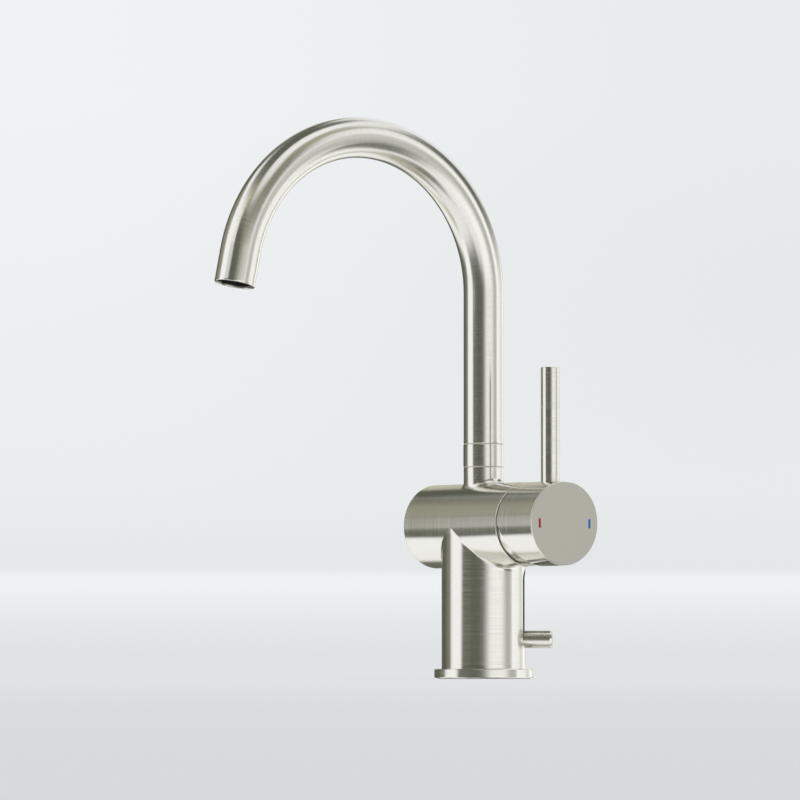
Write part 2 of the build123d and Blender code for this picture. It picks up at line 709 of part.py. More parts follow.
with BuildPart() as pull_rod:
    pull_rod_length = slide_bottom + slide_height - pull_rod_bottom
    ring(ground, pull_rod_bottom, pull_rod_length, pull_rod_radius, spot=pull_rod_spot)
    bore(ground, pull_rod_bottom, link_thread_depth, link_thread_radius, pull_rod_spot)
keep(pull_rod, "pull_rod")

liner_top = axis_height - shell_bore - liner_gap
liner_pocket = slide_width + 2 * slide_clearance
liner_back = pull_rod_distance - slide_depth / 2 - slide_clearance
with BuildPart() as slot_liner:
    with BuildSketch(block_plane.offset(port_block_top)):
        with Locations((liner_back - liner_wall, 0)):
            Rectangle(column_bore, liner_pocket + 2 * liner_wall, align=(Align.MIN, Align.CENTER))
        with Locations((liner_back, 0)):
            Rectangle(column_bore, liner_pocket, align=(Align.MIN, Align.CENTER), mode=Mode.SUBTRACT)
        Circle(column_bore - running_fit, mode=Mode.INTERSECT)
    extrude(amount=liner_top - port_block_top)
keep(slot_liner, "slot_liner")

with BuildPart() as rod_guide_bush:
    bush_height = port_block_top - port_block_lift
    bush_bore = pull_rod_radius + running_fit
    ring(ground, port_block_lift, bush_height, bush_radius - running_fit / 2, bush_bore, pull_rod_spot)
keep(rod_guide_bush, "rod_guide_bush")
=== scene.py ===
# %% [markdown]
# # A single-lever basin mixer in brushed nickel
# The mixer's shape, its joints and its insides come from the CAD model, which this lesson loads as a
# fixed frame. Blender adds what a machine drawing leaves out: the way brushed metal stretches its
# highlights, the fine brush lines, and the studio that the metal mirrors.

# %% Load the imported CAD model
import json
import math

import bpy
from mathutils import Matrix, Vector


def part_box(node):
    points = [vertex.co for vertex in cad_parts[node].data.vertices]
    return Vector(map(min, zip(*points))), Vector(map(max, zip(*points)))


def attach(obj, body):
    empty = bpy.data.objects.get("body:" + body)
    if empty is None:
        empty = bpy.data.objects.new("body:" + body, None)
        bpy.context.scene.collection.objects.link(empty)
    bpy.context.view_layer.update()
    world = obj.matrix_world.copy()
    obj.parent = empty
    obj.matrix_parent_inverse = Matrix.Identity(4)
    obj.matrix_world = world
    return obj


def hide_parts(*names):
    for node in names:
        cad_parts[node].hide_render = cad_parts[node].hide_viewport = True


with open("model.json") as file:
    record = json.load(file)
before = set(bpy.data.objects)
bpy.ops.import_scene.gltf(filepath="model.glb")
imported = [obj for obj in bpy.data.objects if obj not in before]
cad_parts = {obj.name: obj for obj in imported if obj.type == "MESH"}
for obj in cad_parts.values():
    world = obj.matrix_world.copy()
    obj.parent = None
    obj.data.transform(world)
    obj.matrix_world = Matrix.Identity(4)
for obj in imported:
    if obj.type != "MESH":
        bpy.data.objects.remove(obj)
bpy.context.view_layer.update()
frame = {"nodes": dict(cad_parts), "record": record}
nodes = frame["nodes"]
MM = 0.001

# %% [markdown]
# ## The camera
# The photograph was taken with a long lens from near the floor: upright lines stay upright, and the round
# foot shows no ellipse. Such a view is made with a camera far away, a little above the floor, that looks
# slightly upwards. The mixer is turned so that the handle points to the right, towards the viewer.

# %% Place the camera
VIEW_TURN = math.radians(54.0)
CAMERA_REACH = 3.162
CAMERA_HEIGHT = 0.012
COLUMN_OFFSET = 0.04196
LOOK_UP = math.radians(2.314)
FOCAL_LENGTH = 283.5

to_camera = Vector((math.sin(VIEW_TURN), -math.cos(VIEW_TURN), 0))
to_right = Vector((math.cos(VIEW_TURN), math.sin(VIEW_TURN), 0))
camera = bpy.data.objects.new("camera", bpy.data.cameras.new("camera"))
bpy.context.scene.collection.objects.link(camera)
bpy.context.scene.camera = camera
camera.data.lens = FOCAL_LENGTH
camera.location = to_camera * CAMERA_REACH - to_right * COLUMN_OFFSET + Vector((0, 0, CAMERA_HEIGHT))
camera.rotation_euler = (math.pi / 2 + LOOK_UP, 0, VIEW_TURN)
bpy.context.scene.view_settings.view_transform = "Standard"
print("camera at", camera.location)

# %% [markdown]
# ## Building node trees in short lines
# Materials, the studio and the repeated pieces are all node trees. One helper adds a node, sets its
# properties and fills its inputs, so that a tree reads from top to bottom like a recipe.

# %% A helper for node trees
def add(tree, kind, inputs=None, **settings):
    """Adds a node. An input is a plain value, a socket, or a node whose first output is used."""
    made = tree.nodes.new(kind)
    for name, value in settings.items():
        setattr(made, name, value)
    for socket, value in (inputs or {}).items():
        if isinstance(value, bpy.types.Node):
            value = value.outputs[0]
        if isinstance(value, bpy.types.NodeSocket):
            tree.links.new(value, made.inputs[socket])
        else:
            made.inputs[socket].default_value = value
    return made


def maths(tree, operation, first, second=0.0, third=0.0):
    """One step of arithmetic on numbers."""
    return add(tree, "ShaderNodeMath", {0: first, 1: second, 2: third}, operation=operation)


def vectors(tree, operation, first, second=(0, 0, 0)):
    """One step of arithmetic on vectors."""
    return add(tree, "ShaderNodeVectorMath", {0: first, 1: second}, operation=operation)


def step(tree, value, start, end, low=0.0, high=1.0):
    """A soft step: low before start, high after end."""
    return add(
        tree,
        "ShaderNodeMapRange",
        {"Value": value, "From Min": start, "From Max": end, "To Min": low, "To Max": high},
        interpolation_type="SMOOTHSTEP",
    )


def window(tree, value, start, end, soft):
    """1 between start and end, 0 outside, with edges of the given softness."""
    opens = step(tree, value, start - soft, start + soft)
    closes = step(tree, value, end - soft, end + soft, 1, 0)
    return maths(tree, "MULTIPLY", opens, closes)


def mix_colours(tree, share, first, second, blend="MIX"):
    """Blends two colours."""
    made = add(tree, "ShaderNodeMix", data_type="RGBA", blend_type=blend)
    for socket, value in ((made.inputs[0], share), (made.inputs[6], first), (made.inputs[7], second)):
        if isinstance(value, bpy.types.Node):
            value = value.outputs[0]
        if isinstance(value, bpy.types.NodeSocket):
            tree.links.new(value, socket)
        else:
            socket.default_value = value
    return made.outputs[2]


def grey(level, tint=(1, 1, 1)):
    """A colour of one brightness, with a slight tint."""
    return (level * tint[0], level * tint[1], level * tint[2], 1)


print("helpers:", [helper.__name__ for helper in (add, maths, vectors, step, window, mix_colours, grey)])


# %% [markdown]
# ## The studio
# Polished and brushed metal has hardly any look of its own: it shows the room. The bands on the column,
# on the spout and on the lever's rod all fit one room, with broad soft boxes of light at the sides, and
# dark screens between them. The room is made as a world whose brightness depends on direction, with
# one window for each soft box or screen. Only the camera sees the plain pale backdrop instead.

# %% Soft boxes and screens
COOL = (1.0, 1.0, 1.045)
WARM = (1.01, 0.99, 0.80)
OLIVE = (0.955, 1.0, 0.80)
ROOM = grey(0.12, OLIVE)
PANELS = (
    # azimuth from, to, softness, elevation from, to, softness, brightness
    (-200, 200, 5, -70, -27, 4, grey(1.08, COOL)),
    (-150, -100, 6, -40, -17, 2.5, grey(1.10, COOL)),
    (-210, -158, 6, -44, -24, 4, grey(0.40, WARM)),
    (-210, -160, 6, -76, -56, 4, grey(0.40, WARM)),
    (-150, -84, 9, -50, -41, 4, grey(0.66, WARM)),
    (-106, -80, 6, -56, -38, 4, grey(0.50, WARM)),
    (-200, 200, 5, -100, -69, 4, grey(0.32, WARM)),
    (90, 200, 8, -84, -60, 4, grey(0.68, WARM)),
    (-88, -14, 10, -84, -50, 4, grey(1.0, COOL)),
    (-4, 58, 8, -84, -58, 4, grey(0.16, WARM)),
    (-22, 130, 9, 60, 100, 3, grey(1.08, COOL)),
    (-14, 32, 7, 41, 66, 3, grey(1.0, COOL)),
    (86, 150, 6, 41, 62, 4, grey(1.0, COOL)),
    (-2, 42, 8, 14, 42, 4, grey(0.30, WARM)),
    (46, 84, 6, 40, 60, 4, grey(0.46, WARM)),
    (58, 99, 3, 2, 42, 4, grey(1.12, COOL)),
    (140, 200, 4, 14, 53, 4, grey(1.0, COOL)),
    (-138, -100, 4, 40, 56, 3, grey(1.10, COOL)),
    (-104, -40, 4, 19, 53, 3, grey(1.14, COOL)),
    (-60, -16, 6, 43, 54, 3, grey(0.78, WARM)),
    (-100, -65, 4, -36, -4, 3, grey(1.16, COOL)),
    (-105, -65, 4, -4, 14, 3, grey(1.16, COOL)),
    (-101, -63, 4, 12, 44, 3, grey(1.14, COOL)),
    (-136, -107, 4, 8, 34, 4, grey(0.33, WARM)),
    (-122, -107, 4, -6, 8, 4, grey(0.24, WARM)),
    (-210, -164, 4, 5, 31, 4, grey(0.60, WARM)),
    (-210, -162, 4, -38, 5, 5, grey(0.15, OLIVE)),
    (8, 60, 14, -36, 10, 4, grey(1.22, COOL)),
    (-10, 30, 9, -36, -12, 4, grey(1.08, COOL)),
    (82, 158, 3, -46, 10, 4, grey(1.18, COOL)),
    (158, 200, 4, -30, 8, 4, grey(0.70, WARM)),
    (56, 98, 5, -52, -22, 4, grey(0.13, OLIVE)),
    (60, 84, 4, -24, -12, 4, grey(0.30, OLIVE)),
    (61, 77, 4, -14, 16, 4, (0.53, 0.53, 0.51, 1)),
    (168, 200, 3, -30, -6, 4, grey(0.15, OLIVE)),
    (116, 132, 5, -12, 12, 5, grey(0.84)),
)
print("soft boxes and screens:", len(PANELS))

# %% [markdown]
# Later panels cover earlier ones, as screens pushed in front of a lamp would. The room is built by going
# through the list once, with the azimuth counted from the camera towards the right.

# %% Build the room
world = bpy.data.worlds.new("studio")
bpy.context.scene.world = world
world.use_nodes = True
sky = world.node_tree
sky.nodes.clear()
direction = add(sky, "ShaderNodeTexCoord").outputs["Generated"]
height = add(sky, "ShaderNodeSeparateXYZ", {0: direction}).outputs["Z"]
sideways = vectors(sky, "DOT_PRODUCT", direction, to_right)
forwards = vectors(sky, "DOT_PRODUCT", direction, to_camera)
turn = maths(sky, "ARCTAN2", sideways.outputs["Value"], forwards.outputs["Value"])
azimuth = maths(sky, "DEGREES", turn)
elevation = maths(sky, "DEGREES", maths(sky, "ARCSINE", height))

light = ROOM
for az_from, az_to, az_soft, el_from, el_to, el_soft, colour in PANELS:
    across = window(sky, azimuth, az_from, az_to, az_soft)
    upright = window(sky, elevation, el_from, el_to, el_soft)
    light = mix_colours(sky, maths(sky, "MULTIPLY", across, upright), light, colour)
print("nodes in the room:", len(sky.nodes))

# %% [markdown]
# The camera sees a plain pale wall instead of the room. It brightens upwards, has one bright band low down,
# where the table ends, and is a little darker on the right.

# %% Paint the backdrop
BACKDROP_TINT = (0.98, 1.0, 1.018)
BACKDROP = (
    # elevation in degrees, brightness
    (0.0, 0.76),
    (0.3, 0.80),
    (0.5, 0.85),
    (0.6, 0.88),
    (0.7, 0.88),
    (0.8, 0.80),
    (1.5, 0.84),
    (5.0, 0.89),
)
DARKER_SIDE = grey(0.93)
DARKER_FULLY = 4.0
PICTURE_HALF = 0.063

backdrop = grey(BACKDROP[0][1], BACKDROP_TINT)
for (low, _), (high, level) in zip(BACKDROP, BACKDROP[1:]):
    share = add(sky, "ShaderNodeMapRange", {"Value": elevation, "From Min": low, "From Max": high})
    backdrop = mix_colours(sky, share, backdrop, grey(level, BACKDROP_TINT))
off_middle = step(sky, sideways.outputs["Value"], -PICTURE_HALF, PICTURE_HALF)
darker = maths(sky, "MULTIPLY", off_middle, step(sky, elevation, 0.0, DARKER_FULLY))
backdrop = mix_colours(sky, darker, backdrop, DARKER_SIDE, "MULTIPLY")

seen = add(sky, "ShaderNodeLightPath").outputs["Is Camera Ray"]
shown = mix_colours(sky, seen, light, backdrop)
background = add(sky, "ShaderNodeBackground", {"Color": shown, "Strength": 1.0})
add(sky, "ShaderNodeOutputWorld", {"Surface": background})
print("steps of the backdrop:", len(BACKDROP))

# %% [markdown]
# ## The floor
# The floor is a plain pale disc. Its colour for the camera runs on from the backdrop, and much of it is
# painted
# light: the floor glows, and the glow dims towards the camera as a painted falloff. The rest is a real matt
# surface, so that the foot's shadow falls on it. The metal looks through it and sees the lower half of the
# studio, whose bright parts stand for the table top.

# %% Lay the floor
FLOOR_RADIUS = 12.0
# Painted light: the floor's glow, brighter far off and dimmer near the camera as a painted falloff.
FLOOR_GLOW_FAR = (0.486, 0.499, 0.514, 1)
FLOOR_GLOW_NEAR = (0.425, 0.434, 0.447, 1)
GLOW_FROM, GLOW_TO = 0.2, 2.7
FLOOR_MATT = 0.45
FLOOR_SIDES = 96
floor_mesh = bpy.data.meshes.new("floor")
corners = [math.tau * i / FLOOR_SIDES for i in range(FLOOR_SIDES)]
rim = [(FLOOR_RADIUS * math.cos(a), FLOOR_RADIUS * math.sin(a), 0) for a in corners]
floor_mesh.from_pydata(rim, [], [tuple(range(len(rim)))])
floor = bpy.data.objects.new("floor", floor_mesh)
bpy.context.scene.collection.objects.link(floor)


def new_material(name):
    """An empty node material."""
    made = bpy.data.materials.new(name)
    made.use_nodes = True
    made.node_tree.nodes.clear()
    return made, made.node_tree


painted, paint = new_material("studio_floor")
spot = add(paint, "ShaderNodeTexCoord").outputs["Object"]
nearness = vectors(paint, "DOT_PRODUCT", spot, to_camera).outputs["Value"]
matt = add(paint, "ShaderNodeBsdfDiffuse", {"Color": grey(FLOOR_MATT)})
# Painted light: the glow fades from far to near as a painted falloff, and the emission makes the floor shine
# though it is no lamp.
glow = mix_colours(paint, step(paint, nearness, GLOW_FROM, GLOW_TO), FLOOR_GLOW_FAR, FLOOR_GLOW_NEAR)
pale = add(paint, "ShaderNodeEmission", {"Color": glow, "Strength": 1.0})
lit = add(paint, "ShaderNodeAddShader", {0: matt, 1: pale})
clear = add(paint, "ShaderNodeBsdfTransparent")
mirrored = add(paint, "ShaderNodeLightPath").outputs["Is Glossy Ray"]
surface = add(paint, "ShaderNodeMixShader", {0: mirrored, 1: lit, 2: clear})
add(paint, "ShaderNodeOutputMaterial", {"Surface": surface})
floor_mesh.materials.append(painted)
print("floor radius in metres:", FLOOR_RADIUS)

# %% [markdown]
# ## Brushed nickel
# A brush leaves thousands of fine lines round each turned piece. They scatter light only across
# themselves, so every reflection is drawn out along the piece's axis and stays crisp round it. The
# Principled shader does this with its anisotropy and a tangent that points along the axis. On a flat
# end the axis points out of the surface, and the small second part of the tangent takes over there.

# %% The brush lines
NICKEL = (0.78, 0.775, 0.70, 1)
UPRIGHT_ROUGHNESS = (0.18, 0.26)
CROSSWISE_ROUGHNESS = (0.13, 0.17)
NICKEL_STRETCH = 0.8
BRUSH_FINE = 1200.0
BRUSH_LONG = 5.0
LINE_HEIGHT = 0.01 * MM
LINE_RELIEF = 0.03
FINEST, COARSEST = 0.3, 0.7
END_LEAN = 0.02


def brush_lines(tree, place):
    """Fine lines across the third coordinate: quick changes along it and slow ones round it."""
    scaled = vectors(tree, "MULTIPLY", place, (BRUSH_LONG, BRUSH_LONG, BRUSH_FINE))
    return add(tree, "ShaderNodeTexNoise", {"Vector": scaled, "Scale": 1.0, "Detail": 1.0, "Roughness": 0.6})


def upright_polish(tree, spot):
    """The roughness of the finest and of the coarsest lines."""
    return UPRIGHT_ROUGHNESS


print("brush lines per mm:", BRUSH_FINE * MM)

# %% [markdown]
# One recipe makes every brushed finish. What differs from piece to piece is which way the axis runs, where
# a spot lies along it, and how coarse the brush was, so these three are handed in as small functions.

# %% The metal
def brushed(name, way, place, polish=upright_polish):
    """Brushed nickel. way, place and polish add the tangent, the lines' coordinates and the roughness."""
    made, tree = new_material(name)
    spot = add(tree, "ShaderNodeTexCoord").outputs["Object"]
    tangent = add(
        tree,
        "ShaderNodeVectorTransform",
        {0: way(tree, spot)},
        vector_type="VECTOR",
        convert_from="OBJECT",
        convert_to="WORLD",
    )
    lines = brush_lines(tree, place(tree, spot)).outputs[0]
    relief = add(tree, "ShaderNodeBump", {"Height": lines, "Distance": LINE_HEIGHT, "Strength": LINE_RELIEF})
    rough = step(tree, lines, FINEST, COARSEST, *polish(tree, spot))
    shader = add(
        tree,
        "ShaderNodeBsdfPrincipled",
        {
            "Base Color": NICKEL,
            "Metallic": 1.0,
            "Anisotropic": NICKEL_STRETCH,
            "Tangent": tangent,
            "Roughness": rough,
            "Normal": relief,
        },
    )
    add(tree, "ShaderNodeOutputMaterial", {"Surface": shader})
    return made


def fixed_way(x, y, z):
    """A tangent that is the same all over a piece."""
    return lambda tree, spot: add(tree, "ShaderNodeCombineXYZ", {0: x, 1: y, 2: z})


def in_order(first, second, third):
    """Names the coordinates round the piece and then the one along its axis."""
    def place(tree, spot):
        parts = add(tree, "ShaderNodeSeparateXYZ", {0: spot}).outputs
        return add(tree, "ShaderNodeCombineXYZ", {0: parts[first], 1: parts[second], 2: parts[third]})
    return place


upright_nickel = brushed("brushed_nickel_upright", fixed_way(END_LEAN, 0, 1), in_order("X", "Y", "Z"))
barrel_nickel = brushed(
    "brushed_nickel_barrel",
    fixed_way(1, 0, END_LEAN),
    in_order("Y", "Z", "X"),
    lambda tree, spot: CROSSWISE_ROUGHNESS,
)
print("finishes:", upright_nickel.name, barrel_nickel.name)

# %% [markdown]
# The body is one casting with two directions of brushing: round the upright column and neck, and round the
# crossing barrel. Whether a spot belongs to the barrel follows from its distance to the barrel's axis.

# %% Brushed nickel for the body
cap_low, cap_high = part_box("lever_cap")
shell_low, shell_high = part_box("body_shell")
axis_height = (cap_low.z + cap_high.z) / 2
barrel_radius = (shell_high.y - shell_low.y) / 2
SEAM_START, SEAM_END = 0.1 * MM, 0.5 * MM


def barrel_share(tree, spot):
    """1 on the barrel, falling to 0 across the fillet that joins it to the column and to the neck."""
    parts = add(tree, "ShaderNodeSeparateXYZ", {0: spot}).outputs
    level = maths(tree, "SUBTRACT", parts["Z"], axis_height)
    flat = add(tree, "ShaderNodeCombineXYZ", {0: parts["Y"], 1: level})
    off_axis = vectors(tree, "LENGTH", flat).outputs["Value"]
    return step(tree, off_axis, barrel_radius + SEAM_START, barrel_radius + SEAM_END, 1, 0)


def mix_vectors(tree, share, first, second):
    """Blends two vectors."""
    made = add(tree, "ShaderNodeMix", data_type="VECTOR")
    tree.links.new(share.outputs[0], made.inputs[0])
    tree.links.new(first.outputs[0], made.inputs[4])
    tree.links.new(second.outputs[0], made.inputs[5])
    return made.outputs[1]


def body_way(tree, spot):
    upright, along = fixed_way(END_LEAN, 0, 1)(tree, spot), fixed_way(1, 0, END_LEAN)(tree, spot)
    return mix_vectors(tree, barrel_share(tree, spot), upright, along)


def body_place(tree, spot):
    upright, along = in_order("X", "Y", "Z")(tree, spot), in_order("Y", "Z", "X")(tree, spot)
    return mix_vectors(tree, barrel_share(tree, spot), upright, along)


def body_polish(tree, spot):
    share = barrel_share(tree, spot)
    return [step(tree, share, 0, 1, *ends) for ends in zip(UPRIGHT_ROUGHNESS, CROSSWISE_ROUGHNESS)]


body_nickel = brushed("brushed_nickel_body", body_way, body_place, body_polish)
print("barrel radius in mm:", barrel_radius / MM, "axis height in mm:", axis_height / MM)

# %% [markdown]
# The pull pin is brushed round its own axis, which points away from the column at an angle of its own. Its
# direction follows from where the pin lies.

# %% Brushed nickel for the pin, and who gets which
pull_low, pull_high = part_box("pull_pin")
pin_middle = (pull_low + pull_high) / 2
pin_way = Vector((pin_middle.x, pin_middle.y, 0)).normalized()


def pin_place(tree, spot):
    along = vectors(tree, "DOT_PRODUCT", spot, pin_way).outputs["Value"]
    height = add(tree, "ShaderNodeSeparateXYZ", {0: spot}).outputs["Z"]
    return add(tree, "ShaderNodeCombineXYZ", {0: height, 2: along})


pin_nickel = brushed("brushed_nickel_pin", fixed_way(pin_way.x, pin_way.y, END_LEAN), pin_place)


def finish_node(name, material):
    """Gives a CAD node one material all over."""
    mesh = nodes[name].data
    mesh.materials.clear()
    mesh.materials.append(material)


finish_node("body_shell", body_nickel)
finish_node("pull_pin", pin_nickel)
for name in ("base_flange", "swivel_collar", "lever_rod"):
    finish_node(name, upright_nickel)
for name in ("lever_cap", "retaining_nut"):
    finish_node(name, barrel_nickel)
print("the pin points along:", pin_way)

# %% [markdown]
# ## Turned brass, steel and drawn copper
# The waterways and the stem are turned brass, the pins and screws are plain steel, and the two inlet tubes
# are drawn copper. Turning leaves fine grooves round the piece and drawing leaves lines along it, so one
# recipe serves all three: a metal whose colour is a little tarnished in patches, with lines across one
# axis in its relief and its roughness.

# %% Turned and drawn metal
ALONG_Z = (140.0, 140.0, 2200.0)
ALONG_X = (2200.0, 140.0, 140.0)
DRAWN = (1500.0, 1500.0, 40.0)
MARK_DEPTH = 0.02 * MM


def worked_metal(name, clean, tarnished, roughness, grain):
    """Metal with tool marks and tarnish. grain gives how fast the marks change along x, y and z."""
    made, tree = new_material(name)
    spot = add(tree, "ShaderNodeTexCoord").outputs["Object"]
    patches = add(tree, "ShaderNodeTexNoise", {"Vector": spot, "Scale": 90.0, "Detail": 4.0})
    share = step(tree, patches.outputs[0], 0.45, 0.75)
    stretched = vectors(tree, "MULTIPLY", spot, grain)
    marks = add(tree, "ShaderNodeTexNoise", {"Vector": stretched, "Scale": 1.0, "Detail": 2.0})
    relief = add(tree, "ShaderNodeBump", {"Height": marks, "Distance": MARK_DEPTH, "Strength": 0.3})
    rough = step(tree, marks, 0.3, 0.7, roughness - 0.06, roughness + 0.08)
    colour = mix_colours(tree, share, clean, tarnished)
    shading = {"Base Color": colour, "Metallic": 1.0, "Roughness": rough, "Normal": relief}
    shader = add(tree, "ShaderNodeBsdfPrincipled", shading)
    add(tree, "ShaderNodeOutputMaterial", {"Surface": shader})
    return made


BRASS, DARK_BRASS = (0.80, 0.61, 0.30, 1), (0.60, 0.42, 0.19, 1)
STEEL, DARK_STEEL = (0.60, 0.60, 0.61, 1), (0.47, 0.46, 0.46, 1)
COPPER, DARK_COPPER = (0.84, 0.50, 0.35, 1), (0.58, 0.30, 0.20, 1)
turned_brass = worked_metal("turned_brass", BRASS, DARK_BRASS, 0.28, ALONG_Z)
crosswise_brass = worked_metal("crosswise_brass", BRASS, DARK_BRASS, 0.28, ALONG_X)
plain_steel = worked_metal("plain_steel", STEEL, DARK_STEEL, 0.26, ALONG_Z)
drawn_copper = worked_metal("drawn_copper", COPPER, DARK_COPPER, 0.22, DRAWN)
for name in ("port_block", "outlet_sleeve", "spout_nipple", "slide_block"):
    finish_node(name, turned_brass)
for name in ("waterway_block", "lever_stem"):
    finish_node(name, crosswise_brass)
for name in ("stop_screw", "pivot_pin", "lever_screw", "pull_rod"):
    finish_node(name, plain_steel)
for name in ("inlet_tube_hot", "inlet_tube_cold"):
    finish_node(name, drawn_copper)
print("metals inside:", turned_brass.name, plain_steel.name, drawn_copper.name)

# %% [markdown]
# ## Moulded plastic, rubber and ceramic
# The cartridge is moulded plastic with a fine eroded texture from its mould, and its two discs are lapped
# ceramic, nearly polished and faintly speckled. Rubber is dark and dull, with a pale bloom in patches. All of
# these are non-metals that differ in colour, gloss, and the size and depth of their grain.

# %% Plastic, rubber and ceramic
def moulded(name, colour, second, patch_scale, roughness, grain_scale, depth):
    """A non-metal: a second colour in patches, and an even grain of the given scale and depth."""
    made, tree = new_material(name)
    spot = add(tree, "ShaderNodeTexCoord").outputs["Object"]
    patches = add(tree, "ShaderNodeTexNoise", {"Vector": spot, "Scale": patch_scale, "Detail": 3.0})
    grain = add(tree, "ShaderNodeTexNoise", {"Vector": spot, "Scale": grain_scale, "Detail": 2.0})
    relief = add(tree, "ShaderNodeBump", {"Height": grain, "Distance": depth, "Strength": 0.5})
    colour = mix_colours(tree, step(tree, patches.outputs[0], 0.45, 0.75), colour, second)
    rough = step(tree, grain.outputs[0], 0.3, 0.7, roughness - 0.05, roughness + 0.05)
    shading = {"Base Color": colour, "Roughness": rough, "Normal": relief}
    shader = add(tree, "ShaderNodeBsdfPrincipled", shading)
    add(tree, "ShaderNodeOutputMaterial", {"Surface": shader})
    return made


white_plastic = moulded("white_plastic", grey(0.74, WARM), grey(0.66, WARM), 60.0, 0.38, 1800.0, 0.03 * MM)
slide_white, slide_shade = grey(0.80, WARM), grey(0.72, WARM)
slide_plastic = moulded("slide_washer_plastic", slide_white, slide_shade, 60.0, 0.3, 1800.0, 0.02 * MM)
grey_plastic = moulded("grey_plastic", grey(0.34), grey(0.28), 60.0, 0.45, 1600.0, 0.04 * MM)
# Black plastic, which also serves as painted shade: on the slot liner and the aerator ring its black stands
# in for the shade in the slot and deep in the mouth.
black_plastic = moulded("black_plastic", grey(0.007), grey(0.014), 80.0, 0.5, 1600.0, 0.04 * MM)
ceramic = moulded("lapped_ceramic", grey(0.82, WARM), grey(0.72, WARM), 900.0, 0.12, 3000.0, 0.004 * MM)
rubber = moulded("rubber", grey(0.016), grey(0.05), 120.0, 0.62, 2400.0, 0.05 * MM)
plain_finishes = {
    white_plastic: ("cartridge_base", "rotor", "disc_carrier", "rod_guide_bush"),
    slide_plastic: ("lower_washer", "upper_washer"),
    grey_plastic: ("cartridge_housing",),
    # Painted shade: the black slot liner and aerator ring darken the slot and the mouth, where the darkness
    # is shade.
    black_plastic: ("slot_liner", "aerator_ring"),
    ceramic: ("fixed_disc", "moving_disc"),
    rubber: ("base_gasket", "tube_seals", "sleeve_seal", "port_seals", "nipple_seals", "aerator_gasket"),
}
for finish, names in plain_finishes.items():
    for name in names:
        finish_node(name, finish)
print("plain finishes:", len(plain_finishes))

# %% [markdown]
# ## The red and blue marks
# Two short strokes of enamel are filled into the cap's face, red for hot and blue for cold. Enamel pools a
# little unevenly, so its colour is deeper in places, and it is glossy under a clear top.

# %% Enamel marks
RED, DEEP_RED = (0.44, 0.008, 0.005, 1), (0.32, 0.004, 0.003, 1)
BLUE, DEEP_BLUE = (0.016, 0.20, 0.62, 1), (0.010, 0.14, 0.46, 1)
POOL_DEPTH = 0.04 * MM


def enamel(name, colour, deep):
    """Glossy paint whose colour deepens in patches."""
    made, tree = new_material(name)
    spot = add(tree, "ShaderNodeTexCoord").outputs["Object"]
    pools = add(tree, "ShaderNodeTexNoise", {"Vector": spot, "Scale": 700.0, "Detail": 2.0})
    relief = add(tree, "ShaderNodeBump", {"Height": pools, "Distance": POOL_DEPTH, "Strength": 0.4})
    shading = {
        "Base Color": mix_colours(tree, step(tree, pools.outputs[0], 0.35, 0.7), colour, deep),
        "Roughness": step(tree, pools.outputs[0], 0.3, 0.7, 0.22, 0.34),
        "Specular IOR Level": 0.25,
        "Normal": relief,
    }
    shader = add(tree, "ShaderNodeBsdfPrincipled", shading)
    add(tree, "ShaderNodeOutputMaterial", {"Surface": shader})
    return made


finish_node("red_mark", enamel("red_enamel", RED, DEEP_RED))
finish_node("blue_mark", enamel("blue_enamel", BLUE, DEEP_BLUE))
print("nodes with a finish:", sum(len(node.data.materials) > 0 for node in nodes.values()), "of", len(nodes))

# %% [markdown]
# ## Trees that make geometry
# A Geometry Nodes tree makes a piece from a few named sizes. It runs on an empty mesh, its result is kept
# as a plain mesh, and the modifier goes away, because the model is handed on without modifiers.

# %% Helpers for Geometry Nodes
def geometry_tree(name, sizes):
    """An empty tree with one named input for each size. Gives the tree and its inputs."""
    tree = bpy.data.node_groups.new(name, "GeometryNodeTree")
    tree.interface.new_socket("Geometry", in_out="OUTPUT", socket_type="NodeSocketGeometry")
    for size, value in sizes.items():
        kind = "NodeSocketInt" if isinstance(value, int) else "NodeSocketFloat"
        tree.interface.new_socket(size, in_out="INPUT", socket_type=kind)
    return tree, tree.nodes.new("NodeGroupInput").outputs


def close_tree(tree, geometry, material, smooth=True):
    """Ends a tree: the shading of its faces, real geometry instead of instances, and one material."""
    shaded = add(tree, "GeometryNodeSetShadeSmooth", {"Geometry": geometry, "Shade Smooth": smooth})
    real = add(tree, "GeometryNodeRealizeInstances", {"Geometry": shaded})
    coated = add(tree, "GeometryNodeSetMaterial", {"Geometry": real, "Material": material})
    add(tree, "NodeGroupOutput", {0: coated})


def store(tree, geometry, name, value):
    """Keeps a vector on each point under a name, for the material to read."""
    kept = {"Geometry": geometry, "Name": name, "Value": value}
    return add(tree, "GeometryNodeStoreNamedAttribute", kept, data_type="FLOAT_VECTOR", domain="POINT")


print("helpers for geometry:", geometry_tree.__name__, close_tree.__name__, store.__name__)

# %% [markdown]
# A grown piece goes through the same steps each time: run the tree with the piece's sizes, let the finishing
# modifiers work, keep the result as a plain mesh, put it on the body that carries it, and hide the CAD piece
# it stands for.

